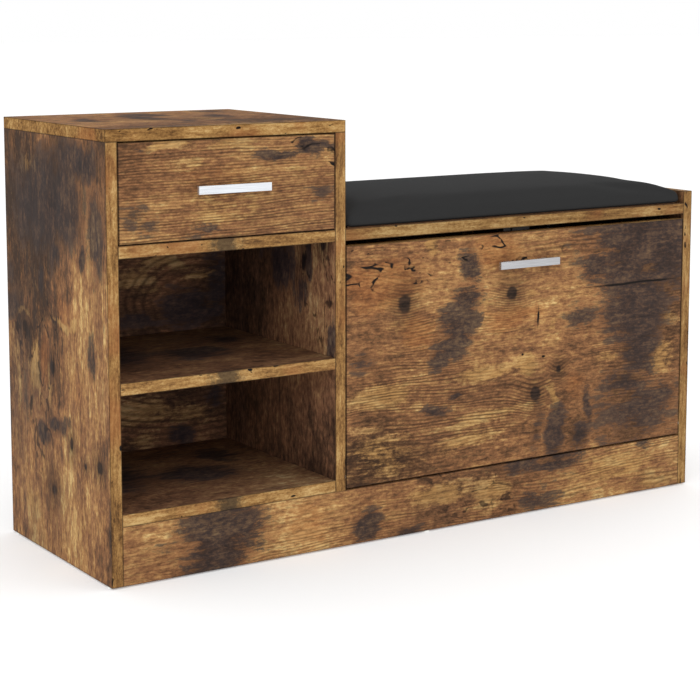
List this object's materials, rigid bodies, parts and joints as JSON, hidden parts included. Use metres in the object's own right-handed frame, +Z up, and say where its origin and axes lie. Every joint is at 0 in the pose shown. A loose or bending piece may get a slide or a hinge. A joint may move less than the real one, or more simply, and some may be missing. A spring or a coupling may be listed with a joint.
{
  "type": "entryway bench",
  "caption": "Wooden entryway bench: a tower with a drawer over two open cubbies beside a low cushioned seat on a tilt-out shoe compartment.",
  "frame": {"origin": "on the floor, in the middle of the whole bench's box", "axes": "+X along the front to the right as seen by someone facing it, +Y from the front to the back, +Z up"},
  "size_m": [0.92, 0.314, 0.55],
  "materials": {
    "smoked_oak": "satin",
    "inner_board": "satin",
    "hardboard": "matte",
    "cushion_fabric": "matte",
    "beech": "matte",
    "handle_satin": "satin",
    "white_plastic": "satin",
    "brown_plastic": "satin",
    "runner_steel": "satin",
    "zinc_steel": "satin"
  },
  "bodies": {
    "cabinet": {"left_side_panel": "smoked_oak", "divider_panel": "smoked_oak", "right_side_panel": "smoked_oak", "tower_top": "smoked_oak", "drawer_shelf": "smoked_oak", "middle_shelf": "smoked_oak", "tower_floor": "smoked_oak", "bench_floor": "smoked_oak", "seat_board": "smoked_oak", "plinth": "smoked_oak", "rear_rail": "smoked_oak", "tower_back": "hardboard", "bench_back": "hardboard", "seat_cushion": "cushion_fabric", "cushion_base": "hardboard", "floor_glides": "white_plastic", "case_dowels": "beech", "case_cam_bolts": "zinc_steel", "case_cam_locks": "zinc_steel", "case_runner_left": "runner_steel", "case_runner_right": "runner_steel", "front_roller_rivets": "zinc_steel", "case_screws": "zinc_steel", "pivot_bushes": "white_plastic", "stop_pegs": "zinc_steel", "magnetic_catch": "brown_plastic"},
    "drawer": {"drawer_front": "smoked_oak", "drawer_side_left": "inner_board", "drawer_side_right": "inner_board", "drawer_back": "inner_board", "drawer_bottom": "hardboard", "drawer_handle": "handle_satin", "drawer_handle_screws": "zinc_steel", "drawer_dowels": "beech", "drawer_cam_bolts": "zinc_steel", "drawer_cam_locks": "zinc_steel", "drawer_screws": "zinc_steel", "drawer_runner_left": "runner_steel", "drawer_runner_right": "runner_steel", "rear_roller_rivets": "zinc_steel"},
    "flap": {"flap_front": "smoked_oak", "rack_side_left": "inner_board", "rack_side_right": "inner_board", "rack_floor": "inner_board", "rack_middle_shelf": "inner_board", "rack_lower_back": "inner_board", "rack_upper_back": "inner_board", "flap_handle": "handle_satin", "flap_handle_screws": "zinc_steel", "flap_pivot_pins": "zinc_steel", "rack_dowels": "beech", "rack_cam_bolts": "zinc_steel", "rack_cam_locks": "zinc_steel", "flap_screws": "zinc_steel", "strike_plate": "zinc_steel"},
    "front_roller_left_wheel": {"front_roller_left": "white_plastic"},
    "front_roller_right_wheel": {"front_roller_right": "white_plastic"},
    "rear_roller_left_wheel": {"rear_roller_left": "white_plastic"},
    "rear_roller_right_wheel": {"rear_roller_right": "white_plastic"}
  },
  "joints": [
    {"name": "drawer_slide", "type": "slide", "parent": "cabinet", "child": "drawer", "axis": [0, -1, 0], "range_m": [0, 0.18]},
    {"name": "flap_tilt", "type": "hinge", "parent": "cabinet", "child": "flap", "pos_m": [0.158, -0.1355, 0.0922], "axis": [1, 0, 0], "range_deg": [0, 45]},
    {"name": "front_roller_left_spin", "type": "hinge", "parent": "cabinet", "child": "front_roller_left_wheel", "pos_m": [-0.4394, -0.115, 0.428], "axis": [1, 0, 0], "continuous": true},
    {"name": "front_roller_right_spin", "type": "hinge", "parent": "cabinet", "child": "front_roller_right_wheel", "pos_m": [-0.1496, -0.115, 0.428], "axis": [1, 0, 0], "continuous": true},
    {"name": "rear_roller_left_spin", "type": "hinge", "parent": "drawer", "child": "rear_roller_left_wheel", "pos_m": [-0.4386, 0.112, 0.428], "axis": [1, 0, 0], "continuous": true},
    {"name": "rear_roller_right_spin", "type": "hinge", "parent": "drawer", "child": "rear_roller_right_wheel", "pos_m": [-0.1504, 0.112, 0.428], "axis": [1, 0, 0], "continuous": true}
  ],
  "couplings": [
    {"joint": "front_roller_left_spin", "follows": "drawer_slide", "rad_per_m": 166.67},
    {"joint": "front_roller_right_spin", "follows": "drawer_slide", "rad_per_m": 166.67},
    {"joint": "rear_roller_left_spin", "follows": "drawer_slide", "rad_per_m": 166.67},
    {"joint": "rear_roller_right_spin", "follows": "drawer_slide", "rad_per_m": 166.67}
  ]
}
